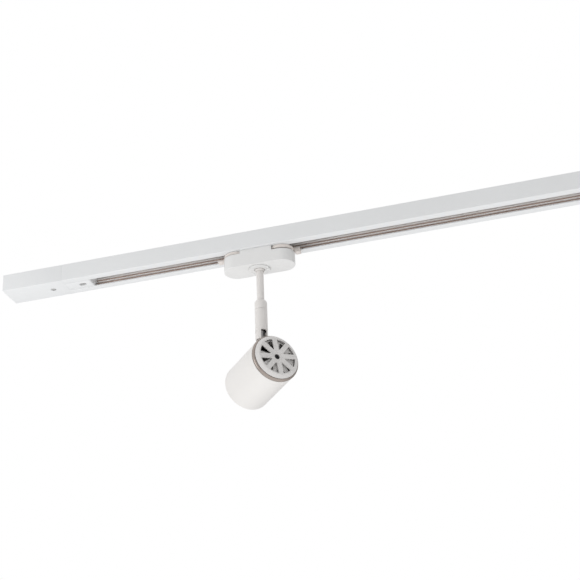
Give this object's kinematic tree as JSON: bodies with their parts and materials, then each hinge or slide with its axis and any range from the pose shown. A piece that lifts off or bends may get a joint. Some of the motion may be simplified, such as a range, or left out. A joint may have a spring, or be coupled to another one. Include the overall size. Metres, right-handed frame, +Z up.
{
  "type": "track spotlight",
  "caption": "Cylindrical lamp head with a vented rear cap, tilting and turning on a stem below an adapter that slides and locks in a ceiling track with a live end feed.",
  "frame": {"origin": "centre of the track profile's ceiling face", "axes": "+X along the track, away from the end feed; +Z up, out of the ceiling face; the head aims towards -X +Y"},
  "size_m": [1.0769, 0.0861, 0.1931],
  "materials": {
    "track_white": "satin white powder coat",
    "housing_white": "satin warm white",
    "head_white": "satin warm white lacquer",
    "insulation": "matt warm white extruded plastic",
    "copper": "bare copper, slightly dull",
    "steel": "zinc plated",
    "nickel": "satin nickel",
    "dark_screw": "blackened",
    "black_nylon": "matt black",
    "ceramic": "off-white ceramic",
    "lamp_silver": "mirror coated",
    "lens": "clear glass"
  },
  "bodies": {
    "track": {"track_profile": "track_white", "insulator_front": "insulation", "insulator_rear": "insulation", "conductor_line": "copper", "conductor_neutral": "copper", "earth_strip": "copper", "end_cap": "housing_white", "end_feed_cover": "track_white", "end_feed_base": "housing_white", "end_feed_screw": "steel", "terminal_block": "ceramic", "terminal_screw_1": "steel", "terminal_screw_2": "steel", "terminal_screw_3": "steel", "feed_connector": "track_white", "feed_contact_line": "copper", "feed_contact_neutral": "copper", "feed_contact_earth": "copper", "feed_lead_line": "black_nylon", "feed_lead_neutral": "black_nylon", "feed_lead_earth": "black_nylon"},
    "feed_button": {"feed_button": "track_white"},
    "adapter": {"adapter_cover": "housing_white", "adapter_frame": "housing_white", "adapter_screw_left": "steel", "adapter_screw_right": "steel", "stem_tube": "housing_white", "stem_collar": "housing_white", "stem_nut": "steel", "sleeve_cap": "housing_white", "swivel_clip": "steel"},
    "lever_left": {"lock_lever_left": "housing_white"},
    "lever_right": {"lock_lever_right": "housing_white"},
    "selector": {"selector_ring": "housing_white", "contact_rotor": "black_nylon", "rotor_contact_line": "copper", "rotor_contact_neutral": "copper", "rotor_contact_earth": "copper"},
    "swivel": {"sleeve": "housing_white", "hinge_pin": "steel", "hinge_washer_left": "black_nylon", "hinge_washer_right": "black_nylon"},
    "head": {"hinge_lug": "steel", "lug_screw_1": "steel", "lug_screw_2": "steel", "head_shell": "head_white", "reveal_ring": "nickel", "rear_cap": "head_white", "vent_baffle": "head_white", "cap_screw": "dark_screw", "lamp_bracket": "steel", "lamp_holder": "ceramic", "lamp_body": "lamp_silver", "lamp_pin_1": "steel", "lamp_pin_2": "steel", "lamp_lens": "lens", "front_ring": "steel"}
  },
  "joints": [
    {"name": "adapter_slide", "type": "slide", "parent": "track", "child": "adapter", "axis": [1, 0, 0], "range_m": [-0.15, 0.7]},
    {"name": "lever_left_turn", "type": "hinge", "parent": "adapter", "child": "lever_left", "pos_m": [-0.2946, 0, -0.0205], "axis": [0, 0, 1], "range_deg": [0, 90]},
    {"name": "lever_right_turn", "type": "hinge", "parent": "adapter", "child": "lever_right", "pos_m": [-0.243, 0, -0.0205], "axis": [0, 0, -1], "range_deg": [0, 90]},
    {"name": "selector_turn", "type": "hinge", "parent": "adapter", "child": "selector", "pos_m": [-0.2688, 0, -0.0205], "axis": [0, 0, 1], "range_deg": [0, 90]},
    {"name": "head_pan", "type": "hinge", "parent": "adapter", "child": "swivel", "pos_m": [-0.2688, 0, -0.1177], "axis": [0, 0, 1], "range_deg": [-175, 175]},
    {"name": "head_tilt", "type": "hinge", "parent": "swivel", "child": "head", "pos_m": [-0.2688, 0, -0.1177], "axis": [-0.7108, -0.7034, 0], "range_deg": [-6, 64]},
    {"name": "feed_button_press", "type": "slide", "parent": "track", "child": "feed_button", "axis": [0, 0, 1], "range_m": [0, 0.001], "stiffness_N_per_m": 300, "springref_m": -0.001}
  ]
}
